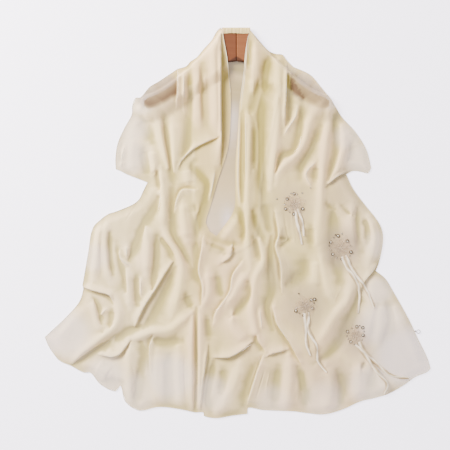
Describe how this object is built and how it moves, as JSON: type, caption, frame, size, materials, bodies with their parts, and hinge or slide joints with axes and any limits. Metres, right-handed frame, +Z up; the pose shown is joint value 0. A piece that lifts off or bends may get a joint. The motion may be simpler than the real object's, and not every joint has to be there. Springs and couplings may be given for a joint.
{
  "type": "shawl hijab on a wooden clothes hanger",
  "caption": "Sheer cream shawl hijab laid flat over a plain wooden hanger, its falls softly pleated and trimmed with organza flowers, clear stones and satin ribbon tails.",
  "frame": {"origin": "centre of the bounding box's bottom, on the surface the garment lies on", "axes": "+Z up off the surface; +Y toward the neck, up in the picture; +X to the picture's right"},
  "size_m": [0.9006, 0.9116, 0.0282],
  "materials": {
    "chiffon": "sheer matt chiffon",
    "wood": "reddish brown, satin",
    "organza": "very sheer organza",
    "satin": "shiny satin ribbon"
  },
  "bodies": {
    "root": {"back_panel": "chiffon", "neck_roll": "chiffon", "left_shoulder": "chiffon", "right_shoulder": "chiffon", "left_front": "chiffon", "right_front": "chiffon", "left_outer": "chiffon", "right_outer": "chiffon", "left_tail": "chiffon", "right_tail": "chiffon", "hanger_left": "wood", "hanger_right": "wood", "ribbon_1a": "satin", "ribbon_1b": "satin", "ribbon_2a": "satin", "ribbon_2b": "satin", "ribbon_3a": "satin", "ribbon_3b": "satin", "ribbon_4a": "satin", "ribbon_4b": "satin", "flower_1": "organza", "flower_2": "organza", "flower_3": "organza", "flower_4": "organza"}
  },
  "joints": []
}
